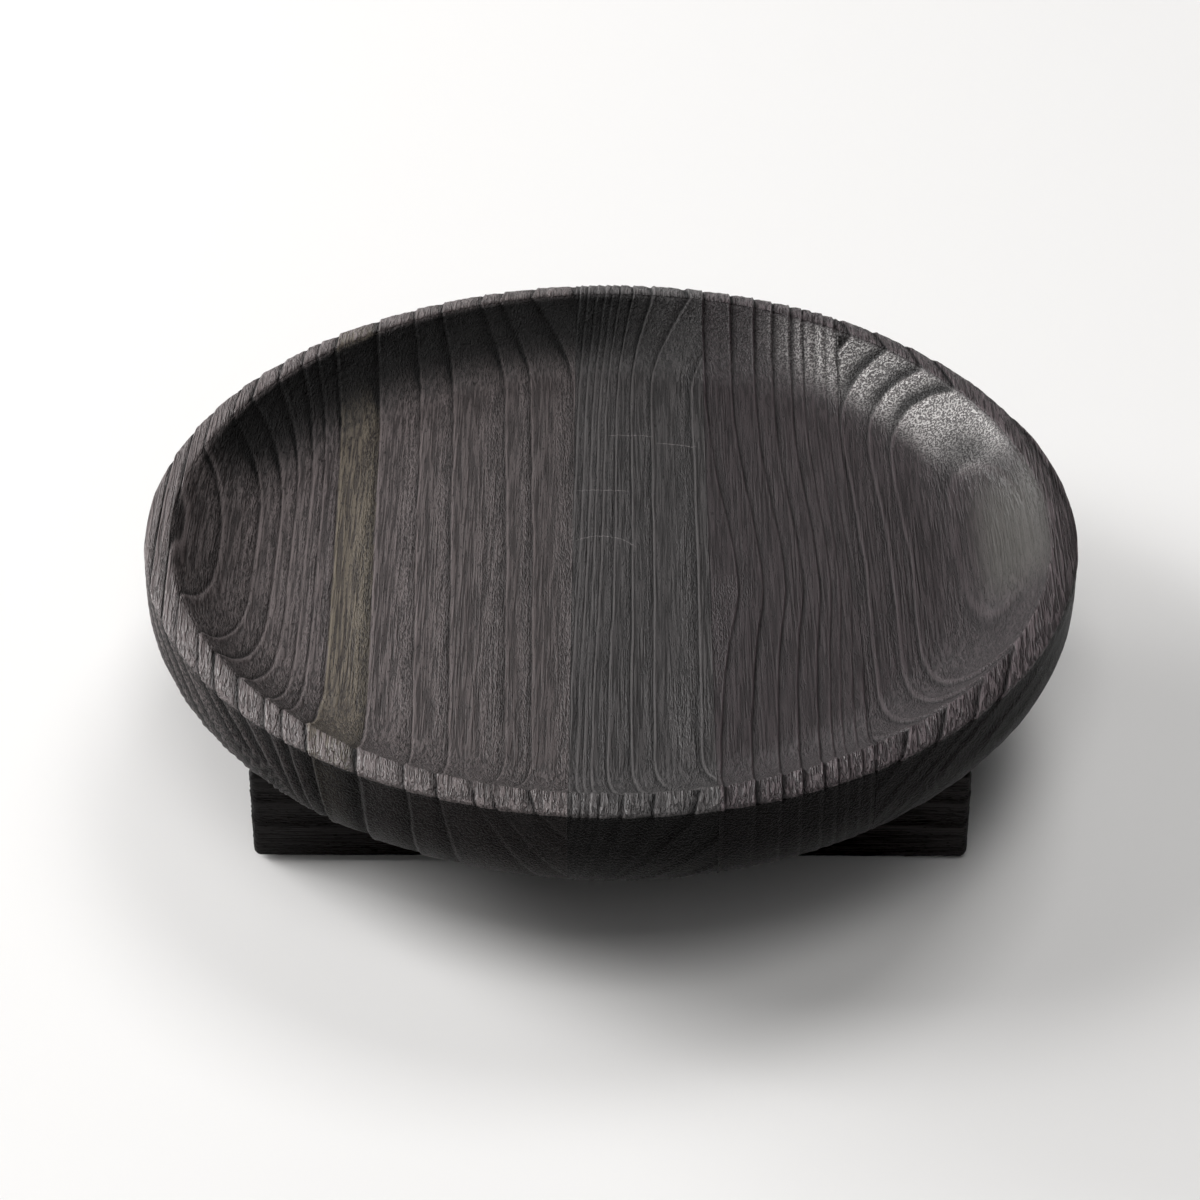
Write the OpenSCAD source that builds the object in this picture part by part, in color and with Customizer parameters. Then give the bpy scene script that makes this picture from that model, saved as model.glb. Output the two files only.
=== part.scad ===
// Round, shallow, thick-walled wooden bowl on two runner feet.
// The bowl is cut from edge-glued boards whose grain runs along Y, from front to back.
// The runners cross the boards, along X, and are screwed up into them from below.
// Origin: centre of the footprint, on the surface that the bowl stands on. +Z is up.
// The front of the bowl faces -Y. All sizes are in millimetres.

/* [Bowl] */
// Outer diameter of the rim
bowl_d = 456; // [440:2:480]
// Diameter of the mouth, measured at the inner edge of the rim
mouth_d = 430; // [420:2:430]
// Height of the bowl body, without its feet
body_h = 70.5; // [68:0.5:80]
// Fall of the rim band from its inner edge to its outer edge
rim_fall = 2.5; // [1:0.5:5]
// Height of the upright side, below the rim band
side_h = 20; // [14:1:24]
// Radius of the flat underside
base_r = 158; // [156:1:162]

/* [Hollow] */
// Depth of the flat floor below the mouth
hollow_depth = 24; // [20:0.5:28]
// Radius of the flat part of the floor
floor_r = 161; // [158:1:164]
// Radius of the cove between floor and rim, in section
cove_r = 71; // [68:1:76]

/* [Boards] */
// Glue line between the left board and the middle left board
seam_left = -19; // [-24:1:-10]
// Glue line between the two middle boards
seam_middle = 48.5; // [40:0.5:54]
// Glue line between the middle right board and the right board
seam_right = 120; // [116:1:122]

/* [Runners] */
// Length of each runner
runner_l = 346; // [330:2:360]
// Depth of each runner, from front to back
runner_w = 52; // [44:1:60]
// Height of each runner
runner_h = 52.5; // [46:0.5:60]
// Distance from the centre of the bowl to the outer face of each runner
runner_reach = 112; // [104:1:114]
// Radius of the long edges of a runner
runner_edge_r = 3; // [1:0.5:4]
// Radius of the upright corners of a runner
runner_corner_r = 4; // [2:0.5:6]

/* [Fixings] */
// Diameter of a screw's shank
screw_d = 5; // [4:0.5:6]
// Length of a screw from under its head to its tip
screw_l = 55; // [48:1:58]
// Diameter of a screw's head
head_d = 10; // [9:0.5:11]
// Depth of the hole that hides a screw's head
counterbore_depth = 22; // [18:1:24]
// Distance of the outermost screws from the middle
end_screw_x = 128; // [126:1:130]
// Distance from the left glue line to the nearest screw in the left board
seam_screw_gap = 41.5; // [36:0.5:50]

/* [Pads] */
// Diameter of a felt pad
pad_d = 25; // [18:1:32]
// Thickness of a felt pad
pad_h = 2; // [1:0.5:4]
// Distance from a runner's end to the centre of its pad
pad_inset = 20; // [16:1:30]

/* [Hidden] */

$fn = 96;
round_fn = 180;

rim_r = bowl_d / 2;
mouth_r = mouth_d / 2;
base_z = pad_h + runner_h;
mouth_z = base_z + body_h;
floor_z = mouth_z - hollow_depth;
rim_z = mouth_z - rim_fall;
belly_z = rim_z - side_h;

// Small roundings at the two edges of the rim band
inner_edge_r = 2;
outer_edge_r = 1.5;
edge_steps = 3;

// The lower wall is a quarter of an ellipse, from the upright side in to the flat base
belly_steps = 16;
belly_a = rim_r - base_r;
belly_b = belly_z - base_z;

// The cove is an arc that leaves the floor level and ends where it meets the rim's inner edge
cove_end = acos(1 - (hollow_depth - inner_edge_r * 0.75) / cove_r);
cove_steps = 12;

runner_y = runner_reach - runner_w / 2;
seat_z = pad_h + counterbore_depth;
pilot_end_z = seat_z + screw_l;
tip_l = 5;
head_h = 3.2;
counterbore_d = head_d + 3;
clearance_d = screw_d + 0.5;
drive_w = 1.3;
drive_l = 5.6;
drive_depth = 1.9;

// One screw in the middle of each narrow board, two in the wide left board, one in the right board
screw_x = [-end_screw_x,
           seam_left - seam_screw_gap,
           (seam_left + seam_middle) / 2,
           (seam_middle + seam_right) / 2,
           end_screw_x];

charred = "#2b2b2c";
charred_dark = "#1b1b1c";

// Points along an arc in section, from angle a0 to a1
function arc(cx, cz, r, a0, a1, steps) =
    [for (i = [0 : steps]) let (a = a0 + (a1 - a0) * i / steps) [cx + r * cos(a), cz + r * sin(a)]];

// Points down the belly, from the upright side to the flat base
function belly() =
    [for (i = [0 : belly_steps]) let (a = 90 * i / belly_steps)
        [base_r + belly_a * cos(a), base_z + belly_b - belly_b * sin(a)]];

// Half of the bowl's section, from the axis along the floor, over the rim and back under the base
function section() = concat(
    [[0, base_z], [0, floor_z]],
    arc(floor_r, floor_z + cove_r, cove_r, -90, -90 + cove_end, cove_steps),
    arc(mouth_r + inner_edge_r * 0.4, mouth_z - inner_edge_r, inner_edge_r, 130, 90, edge_steps),
    arc(rim_r - outer_edge_r, rim_z - outer_edge_r, outer_edge_r, 70, 0, edge_steps),
    belly());

// The whole turned bowl, before it is divided into boards
module turned_bowl() {
    rotate_extrude($fn = round_fn)
        polygon(section());
}

// An upright slab of wood between two glue lines
module slab(x0, x1) {
    translate([x0, -rim_r - 5, base_z - 5])
        cube([x1 - x0, bowl_d + 10, body_h + 10]);
}

// The space that the thread of one screw takes in a board
module pilot_hole(x, y) {
    translate([x, y, 0])
        rotate_extrude()
            polygon([[0, base_z - 1], [screw_d / 2, base_z - 1],
                     [screw_d / 2, pilot_end_z - tip_l], [0, pilot_end_z]]);
}

// One board of the bowl, with the pilot holes of the screws numbered first to last in it
module board(x0, x1, first, last) {
    color(charred)
        difference() {
            intersection() {
                turned_bowl();
                slab(x0, x1);
            }
            for (i = [first : last]) {
                pilot_hole(screw_x[i], -runner_y);
                pilot_hole(screw_x[i], runner_y);
            }
        }
}

module left_board() {
    board(-rim_r - 5, seam_left, 0, 1);
}

module middle_left_board() {
    board(seam_left, seam_middle, 2, 2);
}

module middle_right_board() {
    board(seam_middle, seam_right, 3, 3);
}

module right_board() {
    board(seam_right, rim_r + 5, 4, 4);
}

// A rectangle with round corners, centred on the origin
module rounded_rectangle(w, h, r) {
    for (sx = [-1, 1], sy = [-1, 1])
        translate([sx * (w / 2 - r), sy * (h / 2 - r)])
            circle(r = r);
    square([w - 2 * r, h], center = true);
    square([w, h - 2 * r], center = true);
}

// A bar with round long edges and round upright corners, standing on the pads
module runner_bar() {
    intersection() {
        translate([0, 0, pad_h])
            linear_extrude(height = runner_h)
                rounded_rectangle(runner_l, runner_w, runner_corner_r);
        translate([-runner_l / 2, 0, pad_h + runner_h / 2])
            rotate([90, 0, 90])
                linear_extrude(height = runner_l)
                    rounded_rectangle(runner_w, runner_h, runner_edge_r);
    }
}

// A runner with its stepped screw holes
module runner(y) {
    color(charred_dark)
        translate([0, y, 0])
            difference() {
                runner_bar();
                for (x = screw_x)
                    translate([x, 0, 0]) {
                        translate([0, 0, pad_h - 1])
                            cylinder(d = counterbore_d, h = counterbore_depth + 1);
                        translate([0, 0, seat_z - 1])
                            cylinder(d = clearance_d, h = base_z - seat_z + 2);
                    }
            }
}

module front_runner() {
    runner(-runner_y);
}

module rear_runner() {
    runner(runner_y);
}

// A pan-head wood screw, driven upwards from under a runner
module screw(x, y) {
    color("silver")
        translate([x, y, seat_z])
            difference() {
                rotate_extrude()
                    polygon([[0, -head_h], [head_d * 0.3, -head_h + 0.25], [head_d * 0.45, -head_h + 1.1],
                             [head_d / 2, -head_h + 2.2], [head_d / 2, 0], [screw_d / 2, 0],
                             [screw_d / 2, screw_l - tip_l], [0, screw_l]]);
                for (turn = [0, 90])
                    rotate([0, 0, turn])
                        translate([-drive_l / 2, -drive_w / 2, -head_h - 1])
                            cube([drive_l, drive_w, drive_depth + 1]);
            }
}

// A round felt pad under one end of a runner
module pad(sx, sy) {
    color("#26262a")
        translate([sx * (runner_l / 2 - pad_inset), sy * runner_y, 0])
            cylinder(d = pad_d, h = pad_h);
}

left_board();
middle_left_board();
middle_right_board();
right_board();
front_runner();
rear_runner();
for (i = [0 : len(screw_x) - 1]) {
    screw(screw_x[i], -runner_y);
    screw(screw_x[i], runner_y);
}
pad(-1, -1);  // front_left_pad
pad(1, -1);  // front_right_pad
pad(-1, 1);  // rear_left_pad
pad(1, 1);  // rear_right_pad
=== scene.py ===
"""Looks for the footed bowl: brushed, charred boards and runners, with their screws and felt pads.

Shapes are worked out in millimetres with numpy and turned into metres when a mesh is made.
"""
import math

import bpy
import numpy as np
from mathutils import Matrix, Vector


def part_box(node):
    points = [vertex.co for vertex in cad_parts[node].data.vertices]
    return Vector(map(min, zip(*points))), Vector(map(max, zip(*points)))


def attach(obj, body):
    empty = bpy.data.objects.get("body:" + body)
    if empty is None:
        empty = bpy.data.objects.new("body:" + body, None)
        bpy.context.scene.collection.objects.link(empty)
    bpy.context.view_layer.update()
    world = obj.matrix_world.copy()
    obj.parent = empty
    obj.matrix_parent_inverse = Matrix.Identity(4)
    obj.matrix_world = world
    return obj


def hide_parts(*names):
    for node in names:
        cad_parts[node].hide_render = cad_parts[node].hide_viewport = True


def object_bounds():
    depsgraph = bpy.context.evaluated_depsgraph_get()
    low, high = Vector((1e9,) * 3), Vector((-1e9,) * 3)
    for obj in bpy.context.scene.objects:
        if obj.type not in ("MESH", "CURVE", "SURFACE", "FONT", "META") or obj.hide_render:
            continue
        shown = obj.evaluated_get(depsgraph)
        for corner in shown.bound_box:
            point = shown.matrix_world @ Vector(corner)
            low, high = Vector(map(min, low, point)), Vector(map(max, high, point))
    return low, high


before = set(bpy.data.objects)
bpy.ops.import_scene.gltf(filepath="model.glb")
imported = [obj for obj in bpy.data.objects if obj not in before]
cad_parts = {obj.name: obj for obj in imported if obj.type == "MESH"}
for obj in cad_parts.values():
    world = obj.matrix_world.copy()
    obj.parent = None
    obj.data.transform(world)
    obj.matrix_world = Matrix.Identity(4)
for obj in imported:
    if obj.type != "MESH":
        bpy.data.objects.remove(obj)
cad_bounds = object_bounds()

MM = 0.001

# -------- sizes, from the frame


def box_mm(node):
    """A CAD node's lowest and highest corner, in millimetres."""
    low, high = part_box(node)
    return [c / MM for c in low], [c / MM for c in high]


RIM_R = round(cad_bounds[1][1] / MM, 1)
MOUTH_Z = cad_bounds[1][2] / MM
BASE_Z = box_mm("front_runner")[1][2]
SEAMS = [box_mm(node)[1][0] for node in ("left_board", "middle_left_board", "middle_right_board")]

# Section of the bowl, as in the CAD model
HOLLOW_DEPTH = 24.0
FLOOR_R = 161.0
COVE_R = 71.0
MOUTH_R = 215.0
BASE_R = 158.0
RIM_FALL = 2.5
SIDE_H = 20.0
INNER_EDGE_R = 2.0
OUTER_EDGE_R = 1.5
FLOOR_Z = MOUTH_Z - HOLLOW_DEPTH
RIM_Z = MOUTH_Z - RIM_FALL
BELLY_Z = RIM_Z - SIDE_H
BELLY_A = RIM_R - BASE_R
BELLY_B = BELLY_Z - BASE_Z
LIP_START = math.radians(130)
EDGE_START = math.radians(70)

# Above this height lie only the hollow, the rim and the outermost part of the wall
UPPER_Z = BASE_Z + 30.0

# -------- numeric helpers


def smooth(low, high, v):
    """0 below low, 1 above high, with a smooth rise between."""
    t = np.clip((v - low) / (high - low), 0.0, 1.0)
    return t * t * (3.0 - 2.0 * t)


def spot_share(x, y, spot):
    """1 in the middle of a spot and 0 far from it. A spot is its middle and its reach along X and Y."""
    spot_x, spot_y, reach_x, reach_y = spot
    return np.exp(-((x - spot_x) / reach_x) ** 2 - ((y - spot_y) / reach_y) ** 2)


class Noise:
    """Seeded value noise in three dimensions, from -1 to 1, one unit from cell to cell."""

    SIZE = 64
    SHIFT = 1000.0

    def __init__(self, seed):
        self.cells = np.random.default_rng(seed).uniform(-1.0, 1.0, (self.SIZE,) * 3)

    def __call__(self, x, y, z):
        total = 0.0
        steps = []
        for v in (x, y, z):
            v = np.asarray(v, dtype=float) + self.SHIFT
            cell = np.floor(v).astype(int)
            t = v - cell
            steps.append((cell, t * t * (3.0 - 2.0 * t)))
        for i in (0, 1):
            for j in (0, 1):
                for k in (0, 1):
                    weight = 1.0
                    index = []
                    for (cell, t), corner in zip(steps, (i, j, k)):
                        weight = weight * (t if corner else 1.0 - t)
                        index.append((cell + corner) % self.SIZE)
                    total = total + weight * self.cells[tuple(index)]
        return total


# -------- growth rings


def ring_values(w, edges, outward, seed, worn=0.0):
    """Reads a stack of growth rings at ring coordinate w, in millimetres.

    edges are the places where one ring ends and the next starts, and outward is +1 where the
    tree grew towards larger w. worn, from 0 to 1, widens the grooves and rounds the crests.
    Returns the relief, from -1 in a groove to about 0 on a crest, the share of soft early wood,
    the crest line and a tone for each ring.
    """
    edges = np.sort(np.asarray(edges, dtype=float))
    cell = np.clip(np.searchsorted(edges, w), 1, len(edges) - 1)
    low, high = edges[cell - 1], edges[cell]
    width = high - low
    inner = np.clip((w - low) if outward > 0 else (high - w), 0.0, width)
    outer = width - inner
    rng = np.random.default_rng(seed)
    strength = rng.uniform(0.55, 1.0, len(edges) + 1)[cell] * np.clip(width / 8.0, 0.6, 1.0)
    tone = rng.uniform(-1.0, 1.0, len(edges) + 1)[cell]
    groove = np.clip((0.16 + 0.24 * worn) * width, 0.7, 2.2 + 4.0 * worn)
    depth = 0.75 * np.exp(-(inner / groove) ** 1.3) + 0.25 * outer / width
    lip = smooth(0.0, 0.8 + 1.4 * worn, outer)
    ridge = 0.34 * np.exp(-((outer - 1.1 - 1.4 * worn) / (0.5 + 0.6 * worn)) ** 2)
    relief = strength * (ridge - 1.0 + lip * (1.0 - depth))
    early = np.exp(-(inner / (0.36 * width)) ** 2) * smooth(0.0, 0.5, inner)
    crest = smooth(1.7 + worn, 0.5, outer) * lip
    return relief, early, crest, tone


def spread(start, stop, widths):
    """Ring edges from start towards stop, whose widths repeat in turn."""
    edges = [start]
    step = 1.0 if stop > start else -1.0
    i = 0
    while (stop - edges[-1]) * step > 0:
        edges.append(edges[-1] + step * widths[i % len(widths)])
        i += 1
    return edges


# Every ring's tone lies from -1 to 1, except the tan one's
TAN_TONE = 3.0


class Rings:
    """The growth rings of one board or runner.

    depth is the depth of the grooves, and cross_depth is added to it where the surface cuts across
    the grain. wall_share is the share of both that is left on the outside wall, as a table along X.
    torn is how much of the soft early wood is torn out, and coarse how far the fibres stand out.
    tan_ring is the stretch of the rings that has a tan colour. In rough_spots the wood is torn, and
    in faint_spots the rings hardly show.
    """

    depth = 0.5
    cross_depth = 0.8
    wall_share = ((0.0,), (1.0,))
    torn = 1.0
    coarse = 1.0
    tan_ring = None
    rough_spots = ()
    faint_spots = ()

    def __init__(self, seed, edges, outward, **looks):
        self.seed, self.edges, self.outward = seed, edges, outward
        self.noise = Noise(seed)
        for key, value in looks.items():
            setattr(self, key, value)

    def coordinate(self, x, y, z):
        """Where a point lies among the ring edges, in millimetres."""
        raise NotImplementedError

    def wander(self, x, y, z):
        """Slow waviness of the grain, in millimetres."""
        n = self.noise
        return (0.9 * n(x / 45, y / 120, z / 45) + 0.45 * n(x / 22 + 9, y / 45, z / 22)
                + 0.24 * n(x / 5, y / 16 + 5, z / 5))

    def read(self, x, y, z, worn=0.0):
        """Relief, early wood, crest and tone at a point, as in ring_values."""
        w = self.coordinate(x, y, z) + self.wander(x, y, z)
        relief, early, crest, tone = ring_values(w, self.edges, self.outward, self.seed, worn)
        for spot in self.faint_spots:
            left = np.where(z > UPPER_Z, 1.0 - 0.9 * spot_share(x, y, spot), 1.0)
            relief, early, crest = relief * left, early * left, crest * left
        early = early * self.torn
        if self.tan_ring:
            tone = np.where((w > self.tan_ring[0]) & (w < self.tan_ring[1]), TAN_TONE, tone)
        for spot in self.rough_spots:
            early = np.maximum(early, np.where(z > FLOOR_Z - 3.0, spot_share(x, y, spot), 0.0))
        return relief, early, crest, tone


class LeaningRings(Rings):
    """Rings that lean: lean and drift are tables along X of their slopes dx/dz and dx/dy."""

    def coordinate(self, x, y, z):
        w = x
        for _ in range(8):
            slope = np.interp(w, self.lean[0], self.lean[1])
            along = np.interp(w, self.drift[0], self.drift[1])
            w = 0.5 * w + 0.5 * (x - slope * (z - FLOOR_Z) - along * y)
        return w


class KnottedRings(Rings):
    """Upright rings that bend round a knot, by swing at most. The bend fades over reach to its right."""

    BEHIND_REACH = 95.0
    BEFORE_REACH = 62.0
    BEFORE_ROUND = 7.0

    def coordinate(self, x, y, z):
        dy = y - self.knot[1]
        behind = np.exp(-(dy / self.BEHIND_REACH) ** 2)
        slack = np.sqrt(dy ** 2 + self.BEFORE_ROUND ** 2) - self.BEFORE_ROUND
        before = np.exp(-slack / self.BEFORE_REACH)
        along = np.where(dy > 0, behind, before)
        across = np.exp(-np.maximum(x - self.knot[0], 0.0) / self.reach)
        return x - self.swing * along * across


class RoundRings(Rings):
    """Rings as circles round a pith, given by its place across the grain and its height over the mouth.

    Behind the middle, the circles widen by flare for each millimetre along the grain.
    """

    TURN_Y = 20.0

    def coordinate(self, x, y, z):
        radius = np.hypot(x - self.pith[0], z - MOUTH_Z - self.pith[1])
        return radius - self.flare * 0.5 * (y + np.sqrt(y ** 2 + self.TURN_Y ** 2))


LEFT_RINGS = LeaningRings(
    seed=11,
    edges=spread(-39, 0, (22,)) + [-52, -79, -96, -117, -137, -145, -151, -158, -165, -174, -187]
    + spread(-196, -300, (9, 8, 11)),
    outward=-1,
    lean=((-200, -165, -150, -135, -112, -92, -77, -50, -20),
          (-0.75, -0.85, -0.35, -0.16, -0.07, -0.12, -0.22, -0.6, -0.9)),
    drift=((-160, -135, -85, -39), (0.0, -0.022, -0.034, -0.016)),
    depth=0.5, cross_depth=0.9, wall_share=((-130, -60), (1.3, 0.5)),
    coarse=1.7, tan_ring=(-137, -117))

MIDDLE_LEFT_RINGS = LeaningRings(
    seed=23,
    edges=spread(62, 63, (22,)) + [42, 20.5, 10, 1, -5.5, -9, -12.3, -16] + spread(-20, -60, (4, 6, 5)),
    outward=-1,
    lean=((-20, -6, 1, 10, 21, 42), (0.12, 0.2, 0.3, 0.45, 0.9, 1.2)),
    drift=((-20, -5, 10, 42), (0.02, 0.022, 0.004, 0.004)),
    depth=0.75, cross_depth=0.7, wall_share=((0,), (0.5,)), torn=0.5, coarse=1.5,
    rough_spots=((37.0, -125.0, 8.0, 30.0),))

MIDDLE_RIGHT_RINGS = KnottedRings(
    seed=37,
    edges=[30, 50, 64, 76.5, 86, 95.5, 102, 107, 113] + spread(118.5, 150, (6, 5, 7)),
    outward=1,
    knot=(60.0, -26.0), swing=13.5, reach=58.0,
    depth=0.75, cross_depth=0.9, wall_share=((0,), (0.25,)), torn=0.25,
    rough_spots=((60.0, -26.0, 8.0, 12.0), (53.0, -60.0, 5.0, 40.0)))

RIGHT_RINGS = RoundRings(
    seed=41,
    edges=spread(20, 120, (13, 12, 14)) + [133.4, 146, 152.5, 161.5] + spread(172, 260, (11, 9)),
    outward=1,
    pith=(241.0, -136.0), flare=0.035,
    depth=0.7, cross_depth=2.2, wall_share=((0,), (0.25,)), torn=0.5, coarse=1.2,
    faint_spots=((190.0, 5.0, 45.0, 72.0),))

# -------- the bowl's section


def half_chord(radius, a):
    """Half of a circle's chord at distance a from its middle, and 0 where the chord misses it."""
    return np.sqrt(np.maximum(radius ** 2 - a ** 2, 0.0))


def top_height(r):
    """Height of the bowl's upper surface at radius r."""
    cove = FLOOR_Z + COVE_R - np.sqrt(np.maximum(COVE_R ** 2 - np.maximum(r - FLOOR_R, 0) ** 2, 0.0))
    cove_end_r = FLOOR_R + math.sqrt(COVE_R ** 2 - (COVE_R - HOLLOW_DEPTH + 0.75 * INNER_EDGE_R) ** 2)
    crown_r = MOUTH_R + 0.4 * INNER_EDGE_R
    turn_r = RIM_R - OUTER_EDGE_R * (1.0 - math.cos(EDGE_START))
    turn_z = RIM_Z - OUTER_EDGE_R * (1.0 - math.sin(EDGE_START))
    lip = MOUTH_Z - INNER_EDGE_R + np.sqrt(np.maximum(INNER_EDGE_R ** 2 - (r - crown_r) ** 2, 0.0))
    band = MOUTH_Z + (turn_z - MOUTH_Z) * (r - crown_r) / (turn_r - crown_r)
    edge = RIM_Z - OUTER_EDGE_R + np.sqrt(
        np.maximum(OUTER_EDGE_R ** 2 - np.clip(r - RIM_R + OUTER_EDGE_R, 0, OUTER_EDGE_R) ** 2, 0.0))
    lip_start_r = crown_r + INNER_EDGE_R * math.cos(LIP_START)
    lip_start_z = MOUTH_Z - INNER_EDGE_R * (1.0 - math.sin(LIP_START))
    cove_end_z = MOUTH_Z - 0.75 * INNER_EDGE_R
    bevel = cove_end_z + (lip_start_z - cove_end_z) * (r - cove_end_r) / (lip_start_r - cove_end_r)
    return np.select([r <= cove_end_r, r <= lip_start_r, r <= crown_r, r <= turn_r],
                     [cove, bevel, lip, band], edge)


def under_height(r):
    """Height of the bowl's lower surface at radius r."""
    share = np.clip((r - BASE_R) / BELLY_A, 0.0, 1.0)
    return np.where(r <= BASE_R, BASE_Z, BELLY_Z - BELLY_B * np.sqrt(1.0 - share ** 2))


LIP_IN_R = MOUTH_R - 2.2
LIP_OUT_R = MOUTH_R + 0.8
BAND_END_R = RIM_R - 1.0

# Steps of each stretch of the outline, from the middle of the hollow to the middle of the underside
FLOOR_STEPS = 84
LIP_STEPS = 5
BAND_STEPS = 12
EDGE_STEPS = 4
SIDE_STEPS = 12
BELLY_STEPS = 30
BASE_STEPS = 14
TOP_POINTS = FLOOR_STEPS + 1 + LIP_STEPS + BAND_STEPS
TOP, EDGE, SIDE, UNDER = range(4)


def upper_rows(a):
    """Stretches of y and z from the middle of the hollow over the lip and the band to the edge."""
    y_out = half_chord(LIP_OUT_R, a)
    y_end = half_chord(BAND_END_R, a)
    floor_y = half_chord(LIP_IN_R, a) * (1 - np.linspace(1, 0, FLOOR_STEPS + 1) ** 1.35)
    lip_r = np.maximum(np.linspace(LIP_IN_R, LIP_OUT_R, LIP_STEPS + 1)[1:], a)
    band_y = y_out + (y_end - y_out) * np.linspace(0, 1, BAND_STEPS + 1)[1:]
    angle = np.linspace(EDGE_START, 0, EDGE_STEPS + 1)[1:]
    edge_r = np.maximum(RIM_R - OUTER_EDGE_R + OUTER_EDGE_R * np.cos(angle), a)
    return [(floor_y, top_height(np.hypot(a, floor_y))),
            (half_chord(lip_r, a), top_height(lip_r)),
            (band_y, top_height(np.hypot(a, band_y))),
            (half_chord(edge_r, a), RIM_Z - OUTER_EDGE_R * (1 - np.sin(angle)))]


def lower_rows(a):
    """Stretches of y and z from the upright side over the belly to the middle of the underside."""
    side_z = np.linspace(RIM_Z - OUTER_EDGE_R, BELLY_Z, SIDE_STEPS + 1)[1:]
    last = math.acos(min(max((a - BASE_R) / BELLY_A, 0.0), 1.0))
    t = np.linspace(0, 1, BELLY_STEPS + 1)[1:]
    t = t + (t - t * t) * smooth(120.0, 165.0, a)
    belly_r = np.maximum(BASE_R + BELLY_A * np.cos(last * t), a)
    base_y = half_chord(BASE_R, a) * np.linspace(1, 0, BASE_STEPS + 1)[1:]
    return [(np.full(SIDE_STEPS, half_chord(RIM_R, a)), side_z),
            (half_chord(belly_r, a), BELLY_Z - BELLY_B * np.sin(last * t)),
            (base_y, np.full(BASE_STEPS, float(under_height(a))))]


def half_slice(x):
    """Half of the closed outline in which the plane at x cuts the bowl, as y, z and part with y >= 0.

    It runs from the middle of the upper surface over the rim to the middle of the underside.
    Stretches that the plane misses shrink to a point. part is TOP, EDGE, SIDE or UNDER.
    """
    rows = upper_rows(abs(x)) + lower_rows(abs(x))
    y = np.concatenate([row[0] for row in rows])
    z = np.concatenate([row[1] for row in rows])
    part = np.repeat([TOP, EDGE, SIDE, UNDER],
                     [TOP_POINTS, EDGE_STEPS, SIDE_STEPS, BELLY_STEPS + BASE_STEPS])
    return y, z, part


def slice_places(x0, x1, pitch, end_step=1.5):
    """Places of the cutting planes from x0 to x1: evenly spaced, and closer near the bowl's sides."""
    xs = [x0]
    while xs[-1] < x1 - 1e-6:
        x = xs[-1]
        if x <= -RIM_R + 1e-6:
            step = RIM_R * (1 - math.cos(end_step / RIM_R))
        else:
            slant = math.sqrt(max(1 - (x / RIM_R) ** 2, 0.0))
            step = min(pitch, max(slant * end_step, RIM_R * (1 - math.cos(end_step / RIM_R))))
        xs.append(x + step)
    xs = np.array(xs)
    return x0 + (xs - x0) * (x1 - x0) / (xs[-1] - x0)


def outward_normals(x, y, part):
    """Unit normals of the bowl's smooth surface at points on its parts."""
    r = np.hypot(x, y)
    step = 0.25
    inside = np.clip(r, step, RIM_R - OUTER_EDGE_R - step)
    slope = (top_height(inside + step) - top_height(inside - step)) / (2 * step)
    turn = np.clip((r - RIM_R + OUTER_EDGE_R) / OUTER_EDGE_R, 0.0, 1.0)
    share = np.clip((r - BASE_R) / BELLY_A, 0.0, 1.0)
    radial = np.select([part == TOP, part == EDGE, part == SIDE], [-slope, turn, 1.0], share / BELLY_A)
    up = np.select([part == TOP, part == EDGE, part == SIDE],
                   [1.0, np.sqrt(1 - turn ** 2), 0.0], -np.sqrt(1 - share ** 2) / BELLY_B)
    length = np.hypot(radial, up)
    r = np.maximum(r, 1e-6)
    return np.stack([radial / length * x / r, radial / length * y / r, up / length], -1)


# -------- meshes


def make_piece(name, points_mm, faces, materials, attributes=None, slots=None):
    """A smooth-shaded mesh object from points in millimetres, with its point attributes and materials."""
    mesh = bpy.data.meshes.new(name)
    mesh.from_pydata((np.asarray(points_mm) * MM).tolist(), [], faces)
    for key, values in (attributes or {}).items():
        layer = mesh.attributes.new(key, "FLOAT", "POINT")
        layer.data.foreach_set("value", np.asarray(values, dtype=np.float32))
    mesh.polygons.foreach_set("use_smooth", [True] * len(mesh.polygons))
    for material in materials:
        mesh.materials.append(material)
    if slots is not None:
        mesh.polygons.foreach_set("material_index", np.asarray(slots, dtype=np.int32))
    piece = bpy.data.objects.new(name, mesh)
    bpy.context.scene.collection.objects.link(piece)
    return piece


def hand_over(piece, cad_node):
    """Lets a piece stand for its CAD node."""
    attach(piece, "root")
    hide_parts(cad_node)


def join_loops(loops):
    """Quads between neighbouring closed loops of the same length, as an index array."""
    count = loops.shape[1]
    a = loops[:-1]
    b = loops[1:]
    n = (np.arange(count) + 1) % count
    return np.stack([a, b, b[:, n], a[:, n]], -1).reshape(-1, 4)


def weld(points, quads):
    """Merges points that coincide and drops the corners and faces that vanish with it."""
    keys = np.round(points, 5)
    _, first, inverse = np.unique(keys, axis=0, return_index=True, return_inverse=True)
    inverse = inverse.reshape(-1)
    faces = []
    for quad in inverse[quads].tolist():
        corners = [c for i, c in enumerate(quad) if c != quad[i - 1]]
        if len(corners) >= 3 and len(set(corners)) == len(corners):
            faces.append(corners)
    return points[first], faces, inverse, first


def mesh_normals(points, faces):
    """Unit vertex normals of a mesh."""
    mesh = bpy.data.meshes.new("normals")
    mesh.from_pydata(points.tolist(), [], faces)
    normals = np.zeros(len(points) * 3)
    mesh.vertices.foreach_get("normal", normals)
    bpy.data.meshes.remove(mesh)
    return normals.reshape(-1, 3)


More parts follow.
